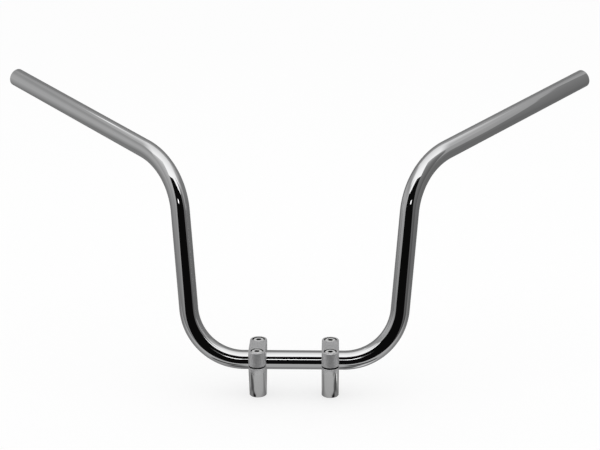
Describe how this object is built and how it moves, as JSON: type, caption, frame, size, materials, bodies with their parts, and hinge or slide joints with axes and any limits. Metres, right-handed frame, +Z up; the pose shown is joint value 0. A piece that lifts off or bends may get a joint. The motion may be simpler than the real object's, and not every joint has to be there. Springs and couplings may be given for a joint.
{
  "type": "motorcycle handlebar",
  "caption": "Tall chromed tubular motorcycle handlebar with swept-back grip ends, clamped at its straight middle in tapered risers by caps and socket-head screws.",
  "frame": {"origin": "midway between the two risers' foot bolts, on the plane of the feet", "axes": "+X along the clamped middle of the tube, to the right in the picture; +Y to the rear, where the grip ends point; +Z up, out of the feet"},
  "size_m": [0.7324, 0.2624, 0.3472],
  "materials": {
    "tube_chrome": "mirror-polished chrome plating on steel tube",
    "riser_chrome": "satin chrome plating with a faint grain, on steel",
    "screw_steel": "bright plated steel"
  },
  "bodies": {
    "root": {"handlebar_tube": "tube_chrome", "left_riser": "riser_chrome", "left_clamp_cap": "riser_chrome", "right_riser": "riser_chrome", "right_clamp_cap": "riser_chrome", "clamp_screws": "screw_steel"}
  },
  "joints": []
}
